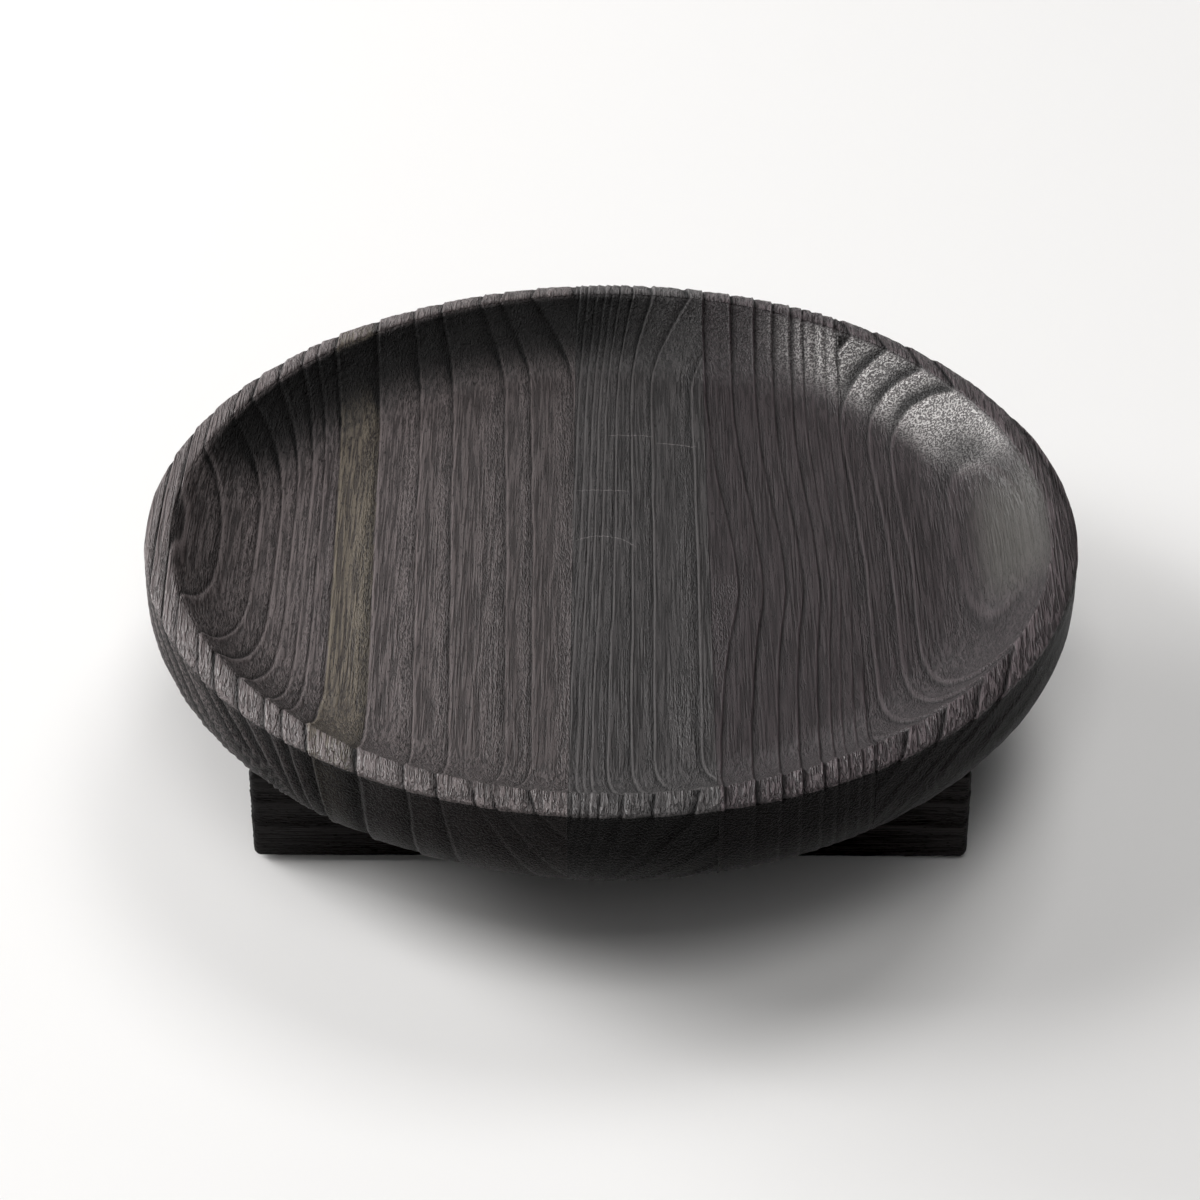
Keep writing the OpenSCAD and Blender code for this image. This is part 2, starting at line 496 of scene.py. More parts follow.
def lathe(profile, steps, centre=(0.0, 0.0), wobble=None):
    """A closed solid turned round an upright axis, from a profile of radius and height.

    The profile starts and ends on the axis. wobble changes the radii by angle and height.
    """
    profile = np.asarray(profile, dtype=float)
    angle = 2 * math.pi * np.arange(steps) / steps
    radius = np.repeat(profile[:, :1], steps, 1)
    height = np.repeat(profile[:, 1:], steps, 1)
    if wobble is not None:
        radius = wobble(radius, angle[None, :], height)
    points = np.stack([centre[0] + radius * np.cos(angle), centre[1] + radius * np.sin(angle), height], -1)
    index = np.arange(points.shape[0] * steps).reshape(-1, steps)
    points, faces, _, _ = weld(points.reshape(-1, 3), join_loops(index)[:, ::-1])
    return points, faces


def cut_away(piece, solids):
    """Cuts closed solids, each given as points and faces, out of a piece."""
    points = []
    faces = []
    for solid_points, solid_faces in solids:
        faces += [[c + len(points) for c in face] for face in solid_faces]
        points += solid_points.tolist()
    tool = make_piece("tool", points, faces, [])
    change = piece.modifiers.new("cut", "BOOLEAN")
    change.operation = "DIFFERENCE"
    change.solver = "EXACT"
    change.object = tool
    done = bpy.data.meshes.new_from_object(piece.evaluated_get(bpy.context.evaluated_depsgraph_get()))
    piece.modifiers.clear()
    done.name = piece.data.name
    piece.data = done
    bpy.data.objects.remove(tool)


# -------- board and runner shapes

# In millimetres: how far the fibres stand out, and how far the rim's band bulges
FIBRE_DEPTH = 0.11
RIM_CROWN = 0.5

# How much the fibres stand out: at most on a board's own surface, and on the rim's band
MOST_COARSE = 1.7
RIM_COARSE = 1.9

# Depth that takes the place of cross_depth on the rim's band
RIM_CROSS_DEPTH = 0.6

# Share of the relief that is left on flat faces that meet another piece
FLAT_SHARE = 0.15


def wood_depth(rings, axes, relief, early, cross, coarse):
    """How far brushing moved the surface outwards, in millimetres; grooves are below 0.

    axes are the coordinates with the one along the grain second. cross is 1 where the surface
    cuts across the grain, and coarse makes the fibres stand out more.
    """
    noise = rings.noise
    u, along, v = axes
    fibre = noise(u / 1.3, along / 30, v / 1.3) + 0.7 * noise(u / 2.9, along / 60, v / 2.9 + 7)
    pits = noise(u / 1.5 + 30, along / 5, v / 1.5)
    depth = (rings.depth + rings.cross_depth * cross) * relief
    depth = depth + FIBRE_DEPTH * coarse * (fibre - 0.4)
    return depth + 0.16 * (pits - 1.0) * early


def highlight_patch_share(x, y, z):
    """1 on the smooth patch of the right cove, where no rings show, which is painted pale as a painted
    highlight.
    """
    return (z > UPPER_Z) * np.exp(-((x - 199.0) / 17.0) ** 4 - ((y - 8.0) / 48.0) ** 4)


def cove_shade_and_wear(x, y, z):
    """Painted shade and wear in the cove: 1 where its back left is painted dark as painted shade, -1 where
    its back right is worn.
    """
    radius = np.hypot(x, y)
    inside = (z > UPPER_Z) * smooth(MOUTH_R + 1.0, MOUTH_R - 4.0, radius)
    # The first mask paints the back of the cove dark, and the second paints a strip of the left cove a
    # little darker: painted shade where little light reaches.
    painted_cove_shade = smooth(160.0, 206.0, radius) * smooth(20.0, 90.0, y) * smooth(60.0, -20.0, x)
    painted_cove_shade = np.maximum(painted_cove_shade, 0.3 * smooth(172.0, 196.0, radius) * smooth(-110.0, -160.0, x))
    worn = smooth(174.0, 203.0, radius) * smooth(50.0, 95.0, y) * smooth(60.0, 145.0, x)
    return inside * (painted_cove_shade - worn)


def slice_grid(places):
    """The closed outlines of the bowl at places along X, as a grid of points, and each point's part."""
    loops = []
    for x in places:
        y, z, part = half_slice(x)
        ys = np.concatenate([y, -y[-2:0:-1]])
        zs = np.concatenate([z, z[-2:0:-1]])
        loops.append(np.stack([np.full_like(ys, x), ys, zs], -1))
    parts = np.tile(np.concatenate([part, part[-2:0:-1]]), len(places))
    return np.array(loops), parts


def wood_attributes(relief, early, crest, tone, coarse, ends):
    """What the wood's material reads from every point."""
    return {"early": early, "crest": crest, "groove": np.clip(-relief, 0, 1), "tone": tone,
            "coarse": coarse, "ends": ends}


def board_mesh(name, x0, x1, rings, pitch, materials):
    """One board of the bowl as a closed mesh, with the relief of its brushed growth rings."""
    grid, parts = slice_grid(slice_places(x0, x1, pitch))
    index = np.arange(len(parts)).reshape(grid.shape[:2])
    points, faces, inverse, first = weld(grid.reshape(-1, 3), join_loops(index))
    parts = parts[first]
    x, y, z = points.T
    radius = np.hypot(x, y)
    wall = parts >= SIDE
    band = (parts <= EDGE) & (radius > MOUTH_R - 1)
    painted_shade_and_wear = np.where(wall, 0.0, cove_shade_and_wear(x, y, z))
    relief, early, crest, tone = rings.read(x, y, z, np.where(wall, 1.0, smooth(0.0, -0.8, painted_shade_and_wear)))
    relief = relief * np.where(wall, np.interp(x, *rings.wall_share), 1.0)
    normals = outward_normals(x, y, parts)
    ends = smooth(0.1, 0.75, np.abs(normals[:, 1]))
    cross = np.where(band, RIM_CROSS_DEPTH / rings.cross_depth, ends)
    coarse = np.where(band, RIM_COARSE, np.where(wall, 1.0, np.minimum(rings.coarse, MOST_COARSE)))
    depth = wood_depth(rings, (x, y, z), relief, early, cross, coarse)
    across_rim = (radius - MOUTH_R) / (RIM_R - MOUTH_R)
    depth = depth + band * RIM_CROWN * 4.0 * np.clip(across_rim * (1.0 - across_rim), 0.0, 0.25)
    depth = np.where(z < BASE_Z + 0.01, FLAT_SHARE * np.minimum(depth, 0.0), depth)
    for end, place in ((0, x0), (-1, x1)):
        if abs(place) < RIM_R - 1:
            seam = inverse[index[end]]
            normals[seam, 0] = 0.0
            faces.append(list(dict.fromkeys(seam.tolist()))[::1 if end else -1])
    points = points + normals * depth[:, None]
    slots = [1 if max(parts[c] for c in face) >= SIDE else 0 for face in faces]
    attributes = wood_attributes(relief, early, crest, tone, coarse, ends)
    attributes["painted_shade_and_wear"] = painted_shade_and_wear
    attributes["bald"] = highlight_patch_share(x, y, z)
    return make_piece(name, points, faces, materials, attributes, slots)


def bar_loop(half_w, half_h, radius, steps):
    """Points round a rectangle with round corners, with each straight side cut into equal steps."""
    rows = []
    corners = ((1, 1), (-1, 1), (-1, -1), (1, -1))
    for k, (sy, sz) in enumerate(corners):
        angle = np.radians(90 * k + np.linspace(0, 90, 6))
        centre = np.array([sy * (half_w - radius), sz * (half_h - radius)])
        rows.append(centre + radius * np.stack([np.cos(angle), np.sin(angle)], -1))
        ty, tz = corners[(k + 1) % 4]
        turn = math.radians(90 * (k + 1))
        following = np.array([ty * (half_w - radius), tz * (half_h - radius)])
        following = following + radius * np.array([math.cos(turn), math.sin(turn)])
        t = np.linspace(0, 1, steps + 1)[1:-1, None]
        rows.append(rows[-1][-1] * (1 - t) + following * t)
    return np.concatenate(rows)


def end_places(length):
    """Distances from a runner's end: close together at its corner, then evenly spaced."""
    near = [0.0, 0.15, 0.4, 0.8, 1.4, 2.2, 3.2, 4.4, 6.0]
    return np.array(near + list(np.linspace(8.5, length / 2, int(length / 2 / 2.6))))


RUNNER_EDGE_R = 3.0
RUNNER_CORNER_R = 4.0
END_EDGE_R = 3.5


def runner_mesh(name, cad_node, rings, material):
    """A square-edged bar with its grain along X, and growth rings on its sides and ends."""
    low, high = box_mm(cad_node)
    length, width, height = (b - a for a, b in zip(low, high))
    middle = [(a + b) / 2 for a, b in zip(low, high)]
    loops = []
    gaps = end_places(length)
    for gap in list(gaps) + list(gaps[-2::-1]):
        x = (gap - length / 2) * (1 if len(loops) < len(gaps) else -1)
        inset = RUNNER_CORNER_R - math.sqrt(RUNNER_CORNER_R ** 2 - max(RUNNER_CORNER_R - gap, 0) ** 2)
        worn = END_EDGE_R - math.sqrt(END_EDGE_R ** 2 - max(END_EDGE_R - gap, 0) ** 2)
        loop = bar_loop(width / 2 - inset, height / 2 - worn, RUNNER_EDGE_R, 54)
        loops.append(np.column_stack([np.full(len(loop), x), loop]))
    ends = []
    for share in np.linspace(0, 1, 17)[:-1]:
        ends.append(loops[0] * [1, share, share])
    loops = ends + loops + [loop * [-1, 1, 1] for loop in ends[::-1]]
    grid = np.array(loops) + middle
    index = np.arange(grid.shape[0] * grid.shape[1]).reshape(grid.shape[:2])
    points, faces, _, _ = weld(grid.reshape(-1, 3), join_loops(index)[:, ::-1])
    x, y, z = points.T
    normals = mesh_normals(points, faces)
    relief, early, crest, tone = rings.read(y, x, z)
    cross = smooth(0.3, 0.8, np.abs(normals[:, 0]))
    depth = wood_depth(rings, (y, x, z), relief, early, cross, 1.5)
    flat = (z > high[2] - 0.01) & (np.abs(normals[:, 2]) > 0.99)
    depth = np.where(flat, FLAT_SHARE * np.minimum(depth, 0.0), depth)
    points = points + normals * depth[:, None]
    attributes = wood_attributes(relief, early, crest, tone, np.full_like(relief, 1.2), cross)
    return make_piece(name, points, faces, [material], attributes)


# -------- screw and pad shapes

SCREWS = ["%s_screw_%d" % (end, i) for end in ("front", "rear") for i in range(1, 6)]
HEAD_H = 3.2
HEAD_D = 10.0
SHANK_D = 5.0
CORE_D = 3.4
TIP_L = 5.0
THREAD_PITCH = 2.2
RIDGE_SHARE = 0.22
PLAIN_L = 14.0
BORE_D = 13.0
CLEARANCE_D = 5.5
TURN_EACH = math.radians(37)


def screw_place(cad_node):
    """Middle of a screw, the height of its head's flat side and the height of its tip."""
    low, high = box_mm(cad_node)
    return (low[0] + high[0]) / 2, (low[1] + high[1]) / 2, low[2] + HEAD_H, high[2]


def threaded(length):
    """How the thread and the tip change a shank's radius, by angle and height above the head."""
    def wobble(radius, angle, height):
        phase = np.mod(height / THREAD_PITCH - angle / (2 * math.pi), 1.0)
        ridge = np.clip(1.0 - np.abs(phase - 0.5) / RIDGE_SHARE, 0.0, 1.0)
        depth = (SHANK_D - CORE_D) / 2 * smooth(PLAIN_L, PLAIN_L + 2, height)
        taper = np.clip((length - height) / TIP_L, 0.0, 1.0) ** 0.8
        shank = (SHANK_D / 2 - 0.05 - depth * (1.0 - ridge)) * taper
        return np.where((height > 0.3) & (radius > 0), shank, radius)
    return wobble


def cross_solids(width, reach, depth, bottom):
    """The two bars of the cross-shaped recess in a screw's head, which narrow upwards."""
    solids = []
    for turn in (0, 1):
        points = []
        for z, share in ((bottom - 1, 1.25), (bottom + depth, 0.7)):
            for sx, sy in ((-1, -1), (1, -1), (1, 1), (-1, 1)):
                u, v = sx * reach / 2 * share, sy * width / 2 * share
                points.append((v, u, z) if turn else (u, v, z))
        faces = [[3, 2, 1, 0], [4, 5, 6, 7]]
        faces += [[i, (i + 1) % 4, (i + 1) % 4 + 4, i + 4] for i in range(4)]
        solids.append((np.array(points), [face[::-1] for face in faces] if turn else faces))
    return solids


def make_screws():
    """Ten wood screws with a domed head, a cross recess and a helical thread."""
    _, _, seat, tip = screw_place(SCREWS[0])
    length = tip - seat
    arc = np.radians(np.linspace(90, 0, 9))
    head = [(HEAD_D / 2 * math.cos(a), -1.0 - (HEAD_H - 1.0) * math.sin(a)) for a in arc]
    head[0] = (0.0, -HEAD_H)
    head += [(HEAD_D / 2, -0.5), (HEAD_D / 2 - 0.1, -0.15), (HEAD_D / 2 - 0.35, 0.0)]
    head.append((SHANK_D / 2 + 0.3, 0.0))
    shank = [(SHANK_D / 2, z) for z in np.arange(0.25, length - 0.05, 0.2)]
    points, faces = lathe(head + shank + [(0.0, length)], 20, wobble=threaded(length))
    steel = satin_steel("zinc_plated_steel")
    first = make_piece("turned_" + SCREWS[0], points, faces, [steel])
    for solid in cross_solids(width=1.5, reach=5.4, depth=1.9, bottom=-HEAD_H):
        cut_away(first, [solid])
    for i, cad_node in enumerate(SCREWS):
        x, y, seat, _ = screw_place(cad_node)
        screw = first if i == 0 else bpy.data.objects.new("turned_" + cad_node, first.data)
        if i:
            bpy.context.scene.collection.objects.link(screw)
        screw.location = (x * MM, y * MM, seat * MM)
        screw.rotation_euler = (0, 0, TURN_EACH * i)
        hand_over(screw, cad_node)


def screw_hole(cad_node, below):
    """The stepped hole of one screw through a runner, from the height below up."""
    x, y, seat, _ = screw_place(cad_node)
    profile = [(0, below), (BORE_D / 2, below), (BORE_D / 2, seat), (CLEARANCE_D / 2, seat),
               (CLEARANCE_D / 2, BASE_Z + 1), (0, BASE_Z + 1)]
    return lathe(profile, 40, (x, y))


def pilot_hole(cad_node):
    """The space that a screw's thread takes in a board."""
    x, y, _, tip = screw_place(cad_node)
    profile = [(0, BASE_Z - 1), (SHANK_D / 2, BASE_Z - 1), (SHANK_D / 2, tip - TIP_L), (0, tip)]
    return lathe(profile, 24, (x, y))


def make_pads():
    """Round felt pads with soft edges and a fuzzy face."""
    felt = pressed_felt("pressed_felt")
    noise = Noise(77)
    for cad_node in ("front_left_pad", "front_right_pad", "rear_left_pad", "rear_right_pad"):
        low, high = box_mm(cad_node)
        radius = (high[0] - low[0]) / 2
        top = high[2]
        edge = 0.6
        radii = np.linspace(0, radius - edge, 20)
        turn = np.radians(np.linspace(-90, 90, 9)[1:-1])
        profile = [(r, low[2]) for r in radii]
        profile += [(radius - edge + edge * math.cos(a), top / 2 + (top / 2) * math.sin(a)) for a in turn]
        profile += [(r, top) for r in radii[::-1]]
        centre = ((low[0] + high[0]) / 2, (low[1] + high[1]) / 2)
        points, faces = lathe(profile, 90, centre)
        x, y, z = points.T
        fuzz = noise(x / 0.8, y / 0.8, z / 0.8) + 0.6 * noise(x / 2.6, y / 2.6, z / 2.6)
        points = points + mesh_normals(points, faces) * (0.055 * (fuzz - 1.6))[:, None]
        hand_over(make_piece("felt_" + cad_node, points, faces, [felt]), cad_node)


# -------- materials


def node(tree, kind, **values):
    """A new shader node, with its properties and its inputs set by name."""
    made = tree.nodes.new(kind)
    for key, value in values.items():
        if hasattr(made, key):
            setattr(made, key, value)
        else:
            made.inputs[key.replace("_", " ")].default_value = value
    return made


class Nodes:
    """A material's node tree, with the few kinds of node that the materials here are built from."""

    def __init__(self, name):
        self.material = bpy.data.materials.new(name)
        self.material.use_nodes = True
        self.tree = self.material.node_tree
        self.shader = self.tree.nodes["Principled BSDF"]
        self.place = node(self.tree, "ShaderNodeTexCoord").outputs["Object"]
        split = node(self.tree, "ShaderNodeSeparateXYZ")
        self.tree.links.new(self.place, split.inputs[0])
        self.across = split.outputs["X"]

    def link(self, value, socket):
        """Feeds a number or another node's output into a socket."""
        if isinstance(value, (int, float)):
            socket.default_value = value
        else:
            self.tree.links.new(value, socket)

    def noise(self, scale, detail=2.0, rough=0.5):
        """Noise with its own number of cells per metre along each axis."""
        mapping = node(self.tree, "ShaderNodeMapping")
        mapping.inputs["Scale"].default_value = scale
        self.link(self.place, mapping.inputs["Vector"])
        made = node(self.tree, "ShaderNodeTexNoise", Scale=1.0, Detail=detail, Roughness=rough)
        self.link(mapping.outputs["Vector"], made.inputs["Vector"])
        return made.outputs["Fac"]

    def maths(self, operation, a, b):
        """One operation on two values."""
        made = node(self.tree, "ShaderNodeMath", operation=operation)
        self.link(a, made.inputs[0])
        self.link(b, made.inputs[1])
        return made.outputs[0]

    def add(self, *values):
        """The sum of some values."""
        total = values[0]
        for value in values[1:]:
            total = self.maths("ADD", total, value)
        return total

    def times(self, a, b):
        """The product of two values."""
        return self.maths("MULTIPLY", a, b)

    def ramp(self, value, low, high):
        """0 at low and 1 at high, with a smooth change between."""
        made = node(self.tree, "ShaderNodeMapRange", interpolation_type="SMOOTHSTEP")
        self.link(value, made.inputs["Value"])
        made.inputs["From Min"].default_value = low
        made.inputs["From Max"].default_value = high
        return made.outputs["Result"]

    def distance(self, x, y):
        """How far a point lies from the upright line at x, y in millimetres, in metres."""
        mapping = node(self.tree, "ShaderNodeMapping")
        mapping.inputs["Location"].default_value = (-x * MM, -y * MM, 0.0)
        mapping.inputs["Scale"].default_value = (1.0, 1.0, 0.0)
        self.link(self.place, mapping.inputs["Vector"])
        made = node(self.tree, "ShaderNodeVectorMath", operation="LENGTH")
        self.link(mapping.outputs["Vector"], made.inputs[0])
        return made.outputs["Value"]

    def arc(self, x, y, radius, middle_x, reach):
        """1 on a thin arc round x, y, as seen from above, up to reach from its point at middle_x."""
        middle_y = y + math.sqrt(radius ** 2 - (middle_x - x) ** 2)
        off = self.maths("ABSOLUTE", self.maths("SUBTRACT", self.distance(x, y), radius * MM), 0.0)
        near = self.ramp(self.distance(middle_x, middle_y), reach * MM, 0.7 * reach * MM)
        return self.times(self.ramp(off, 0.45 * MM, 0.1 * MM), near)

    def attribute(self, key):
        """A value that is stored on the mesh's points, and 0 where the mesh has none."""
        return node(self.tree, "ShaderNodeAttribute", attribute_name=key).outputs["Fac"]

    def mix(self, share, a, b):
        """A colour between a and b, each a colour or another node's output."""
        made = node(self.tree, "ShaderNodeMix", data_type="RGBA")
        self.link(share, made.inputs["Factor"])
        sockets = [s for s in made.inputs if s.type == "RGBA"]
        for socket, value in zip(sockets, (a, b)):
            if isinstance(value, tuple):
                socket.default_value = value
            else:
                self.tree.links.new(value, socket)
        return [s for s in made.outputs if s.type == "RGBA"][0]

    def bump(self, height, distance):
        """Fine relief, with the distance in metres that a height of 1 stands for."""
        made = node(self.tree, "ShaderNodeBump", Strength=1.0, Distance=distance)
        self.link(height, made.inputs["Height"])
        self.link(made.outputs["Normal"], self.shader.inputs["Normal"])


# Tints: factors for red, green and blue. TAN comes on top of a board's own tint.
BROWN = (1.16, 0.97, 0.96)
NEUTRAL = (1.08, 0.99, 0.99)
PURPLE = (1.18, 0.95, 1.00)
TAN = (1.06, 1.07, 0.84)
# The smooth patch's colour is a painted highlight.
PATCH_HIGHLIGHT_COLOUR = (0.090, 0.087, 0.078, 1.0)
# The worn shells' colour is a painted highlight.
SHELL_HIGHLIGHT_COLOUR = (0.62, 0.595, 0.580, 1.0)
SCUFF_LIGHT = 0.25

# Faint scratches on the floor: an arc's centre, radius, middle and reach to each side, in millimetres
SCUFFS = ((5, -38, 150, 10, 13), (10, -45, 150, 34, 12), (-6, -89, 150, -4, 15), (-5, -1, 21, -1, 18))


def tinted(v, tint):
    """A colour of linear brightness v, with a tint given as three factors."""
    return (v * tint[0], v * tint[1], v * tint[2], 1.0)


class Wood(Nodes):
    """Nodes for brushed, charred wood, with the fields that its colour, gloss and relief share."""

    def __init__(self, name, grain):
        super().__init__(name)
        self.grain_axis = "XYZ".index(grain)
        for key in ("early", "crest", "groove", "tone", "coarse", "ends", "bald"):
            setattr(self, key, self.attribute(key))
        painted_shade_and_wear = self.attribute("painted_shade_and_wear")
        # The first share paints the back-left cove black, a painted shade. The second marks the worn shells
        # at the back right, which shade and marked also paint lighter, a painted highlight.
        self.painted_cove_shade = self.ramp(painted_shade_and_wear, 0.0, 1.0)
        self.worn = self.ramp(painted_shade_and_wear, 0.0, -1.0)
        self.band = self.ramp(self.coarse, MOST_COARSE, RIM_COARSE)
        self.lines = self.ramp(self.streaks(860, 30, 1.0), 0.42, 0.58)
        self.teeth = self.ramp(self.streaks(820, 25, 1.0), 0.44, 0.56)
        self.fibre = self.streaks(950, 30, 3.0, 0.65)
        self.fine = self.streaks(1500, 90, 2.0, 0.6)
        self.dashes = self.ramp(self.streaks(1250, 300, 1.0), 0.42, 0.60)
        self.pores = self.ramp(self.streaks(1500, 260, 1.0), 0.60, 0.68)
        self.speckle = self.ramp(self.noise((1000, 1000, 1000), 1.0), 0.44, 0.56)
        self.cloud = self.streaks(22, 6, 3.0)
        self.patches = self.ramp(self.streaks(75, 12, 2.0), 0.35, 0.65)

    def streaks(self, across, along, detail=2.0, rough=0.5):
        """Noise with its own number of cells per metre across the grain and along it."""
        scale = [across] * 3
        scale[self.grain_axis] = along
        return self.noise(scale, detail, rough)

    def shade(self):
        """How light the wood is, from 0 to 1, before the black of its grooves, its painted shade and its
        marks.
        """
        add, times = self.add, self.times
        shade = add(times(self.lines, 0.45), times(self.fine, 0.7), times(self.fibre, 0.4))
        shade = add(shade, times(self.cloud, 0.2), times(self.crest, 0.9))
        shade = add(shade, times(times(self.dashes, self.early), 0.5), times(self.pores, -0.4))
        shade = add(shade, times(self.tone, 0.03), times(times(self.speckle, add(self.ends, 0.15)), 0.4))
        # The rim's band and the worn shells are made lighter here: a painted highlight.
        shade = add(shade, times(self.ends, -0.25), times(self.band, 0.25), times(self.worn, 0.3))
        return self.ramp(shade, 0.40, 1.60)

    def plain_colour(self, tint, light, painted_light_left, painted_light_from):
        """The wood's colour. Towards the left it is painted lighter by the given share, from the first to
        the second given place along X: painted light from the window at the left. A share below 0 paints
        shade there instead.
        """
        warm = tuple(c * k for c, k in zip(tint, TAN))
        side = self.ramp(self.across, painted_light_from[0], painted_light_from[1])
        plain = self.mix(side, tinted(light, tint), tinted(light * (1 + painted_light_left), tint))
        tan = self.mix(side, tinted(light, warm), tinted(light * (1 + painted_light_left), warm))
        bright = self.mix(self.ramp(self.tone, TAN_TONE - 1.5, TAN_TONE - 0.5), plain, tan)
        return self.mix(self.shade(), tinted(0.3 * light, tint), bright)

    def marked(self, colour, tint, rim):
        """A colour with the painted highlights of the smooth patch, of the worn shells and of the rim's
        teeth on it.
        """
        add, times = self.add, self.times
        # The smooth patch of the right cove is painted pale: a painted highlight.
        colour = self.mix(times(self.bald, add(times(self.fine, 0.5), 0.3)), colour, PATCH_HIGHLIGHT_COLOUR)
        # The worn shells are painted pale in specks: a painted highlight.
        colour = self.mix(times(self.worn, add(times(self.speckle, 0.7), 0.12)), colour, SHELL_HIGHLIGHT_COLOUR)
        # The rim's band is painted lighter, most of all on its teeth: a painted highlight on the band.
        return self.mix(times(self.band, add(times(self.teeth, 0.7), 0.15)), colour, tinted(rim, tint))

    def char_and_painted_shade(self, burn):
        """How black the wood is, from 0 to 1: in the grooves, between the rim's teeth, and in the back-left
        cove as painted shade.
        """
        add, times = self.add, self.times
        notches = times(self.band, add(times(self.groove, 0.9), times(self.teeth, -0.3), 0.3))
        scored = add(self.ramp(self.groove, 0.12, 0.7), notches)
        return self.maths("MINIMUM", add(times(scored, add(times(self.worn, 0.45), burn)), self.painted_cove_shade), 1.0)

    def scratched(self, colour, tint, scuffs):
        """A colour with the pale arcs of some scratches on it."""
        for scuff in scuffs:
            broken = self.add(self.times(self.speckle, 0.35), self.times(self.fine, 0.5))
            colour = self.mix(self.times(self.arc(*scuff), broken), colour, tinted(SCUFF_LIGHT, tint))
        return colour

    def gloss(self, rough):
        """The roughness, from rough up in the pores and in the painted shade of the back-left cove and down
        on the crests.
        """
        add, times = self.add, self.times
        gloss = add(times(self.early, 0.10), times(self.fibre, 0.10), times(self.pores, 0.2))
        gloss = add(gloss, times(self.groove, 0.2), rough, times(self.ends, -0.03))
        return add(gloss, times(self.crest, -0.08), times(self.painted_cove_shade, 0.22), times(self.worn, -0.10))

    def relief(self):
        """The height of the fibres, the brushed lines, the torn dashes, the specks and the teeth."""
        add, times = self.add, self.times
        height = add(times(self.fibre, add(times(self.early, 0.5), 0.45)), times(self.fine, 0.2))
        height = add(height, times(self.pores, -0.25), times(times(self.lines, self.patches), 0.36))
        height = add(height, times(times(self.dashes, add(self.early, 0.04)), 0.62))
        height = add(height, times(times(self.speckle, self.ends), add(times(self.worn, 1.4), 0.7)))
        height = add(height, times(times(self.teeth, self.band), 0.9))
        return times(height, self.coarse)


def charred_wood(name, tint, light, dark=0.003, grain="Y", rough=0.33, shine=0.3, painted_light_left=0.0,
                 painted_light_from=(-0.03, -0.13), burn=0.5, rim=0.0, fuzz=0.0, scuffs=()):
    """Brushed charred wood: black, satin where it is smooth, and rough in its open pores."""
    made = Wood(name, grain)
    colour = made.plain_colour(tint, light, painted_light_left, painted_light_from)
    colour = made.marked(colour, tint, rim)
    colour = made.mix(made.char_and_painted_shade(burn), colour, tinted(dark, tint))
    colour = made.scratched(colour, tint, scuffs)
    made.link(colour, made.shader.inputs["Base Color"])
    made.link(made.gloss(rough), made.shader.inputs["Roughness"])
    made.shader.inputs["Specular IOR Level"].default_value = shine
    made.shader.inputs["Sheen Weight"].default_value = fuzz
    made.shader.inputs["Sheen Roughness"].default_value = 0.25
    made.bump(made.relief(), 0.00062)
    return made.material


def satin_steel(name):
    """Zinc-plated steel, slightly clouded and scratched."""
    made = Nodes(name)
    cloud = made.noise((350, 350, 350), 3.0)
    scratch = made.noise((900, 900, 5200), 2.0)
    colour = made.mix(made.ramp(cloud, 0.35, 0.65), (0.46, 0.46, 0.45, 1), (0.62, 0.61, 0.58, 1))
    rough = made.add(made.times(cloud, 0.2), made.times(scratch, 0.15), 0.2)
    made.link(colour, made.shader.inputs["Base Color"])
    made.link(rough, made.shader.inputs["Roughness"])
    made.shader.inputs["Metallic"].default_value = 1.0
    made.bump(scratch, 0.00004)
    return made.material


def pressed_felt(name):
    """Dark grey pressed felt, with a fine tangle of fibres."""
    made = Nodes(name)
    tangle = made.noise((2600, 2600, 2600), 4.0, 0.7)
    cloud = made.noise((240, 240, 240), 2.0)
    shade = made.ramp(made.add(made.times(tangle, 0.8), made.times(cloud, 0.4)), 0.4, 0.8)
    colour = made.mix(shade, (0.012, 0.012, 0.014, 1), (0.055, 0.055, 0.06, 1))
    made.link(colour, made.shader.inputs["Base Color"])
    made.link(made.add(made.times(tangle, 0.2), 0.8), made.shader.inputs["Roughness"])
    made.shader.inputs["Sheen Weight"].default_value = 0.25
    made.bump(tangle, 0.0003)
    return made.material


# -------- pieces


def make_board(cad_node, x0, x1, rings, pitch, tint, light, outside_light, rim, painted_light_left=0.0):
    """One board from x0 to x1. Its hollow and rim are satin, and its outside is dull."""
    # The hollow is painted lighter towards the left, as painted light from the window there. The outside is
    # painted far lighter towards its left edge, by sixteen times that share: a painted reflection of the
    # window on the grazed wall.
    hollow = charred_wood("charred_" + cad_node, tint, light, painted_light_left=painted_light_left, rim=rim, scuffs=SCUFFS)
    outside = charred_wood("charred_outside_" + cad_node, tint, outside_light, rough=0.5, shine=0.12,
                           painted_light_left=16 * painted_light_left, painted_light_from=(-0.115, -0.23), burn=0.95, fuzz=0.08)
    piece = board_mesh("carved_" + cad_node, x0, x1, rings, pitch, [hollow, outside])
    cut_away(piece, [pilot_hole(screw) for screw in SCREWS if x0 < screw_place(screw)[0] < x1])
    hand_over(piece, cad_node)


